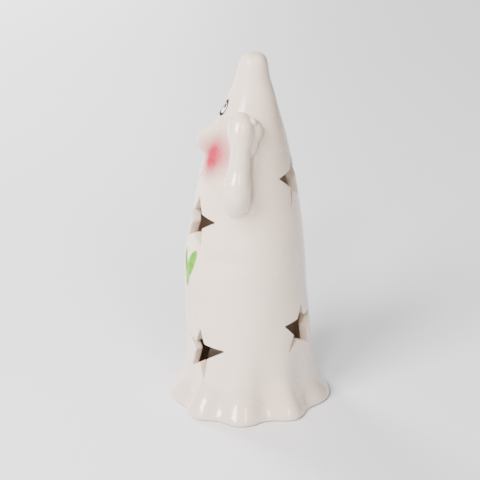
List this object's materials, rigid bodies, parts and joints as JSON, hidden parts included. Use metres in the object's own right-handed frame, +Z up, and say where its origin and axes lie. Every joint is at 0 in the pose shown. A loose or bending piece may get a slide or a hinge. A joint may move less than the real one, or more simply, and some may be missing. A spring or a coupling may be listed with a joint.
{
  "type": "ceramic ghost luminary figurine",
  "caption": "Tall hollow glazed ceramic ghost with star-shaped windows, raised arms and a wavy hem, lit by a pull-out battery light unit in its base.",
  "frame": {"origin": "centre of the bounding box's bottom face, on the surface that the figurine stands on", "axes": "+Z up, the ghost looks along -Y, its left arm is on the +X side"},
  "size_m": [0.0932, 0.0927, 0.2],
  "materials": {
    "glaze": "gloss",
    "felt": "matte",
    "rubber": "matte",
    "plastic": "satin",
    "diffuser": "gloss",
    "led_lens": "gloss",
    "board": "satin",
    "tray": "matte",
    "steel": "satin",
    "brass": "satin",
    "black_plastic": "satin",
    "housing": "satin"
  },
  "bodies": {
    "figure": {"ghost_shell": "glaze", "left_arm": "glaze", "right_arm": "glaze", "felt_pad_1": "felt", "felt_pad_2": "felt", "felt_pad_3": "felt", "felt_pad_4": "felt"},
    "light_unit": {"base_plate": "plastic", "light_housing": "housing", "gasket_ring": "rubber", "flame_diffuser": "diffuser", "led": "led_lens", "circuit_board": "board", "cell_holder": "tray", "button_cell_1": "steel", "button_cell_2": "steel", "button_cell_3": "steel", "contact_strip": "brass", "switch_body": "black_plastic", "door_hinge_pin": "steel", "housing_screw_1": "steel", "housing_screw_2": "steel"},
    "switch_slider": {"switch_knob": "black_plastic"},
    "door": {"battery_door": "plastic", "door_contact": "brass"},
    "door_fastener": {"door_screw": "steel"}
  },
  "joints": [
    {"name": "light_unit_pull", "type": "slide", "parent": "figure", "child": "light_unit", "axis": [0, 0, -1], "range_m": [0, 0.06]},
    {"name": "switch_slide", "type": "slide", "parent": "light_unit", "child": "switch_slider", "axis": [0, 1, 0], "range_m": [0, 0.0034]},
    {"name": "battery_door_hinge", "type": "hinge", "parent": "light_unit", "child": "door", "pos_m": [-0.0223, 0, 0.003], "axis": [0, 1, 0], "range_deg": [0, 105]},
    {"name": "door_screw_turn", "type": "hinge", "parent": "door", "child": "door_fastener", "pos_m": [0.0116, 0, 0.0014], "axis": [0, 0, 1], "continuous": true}
  ]
}
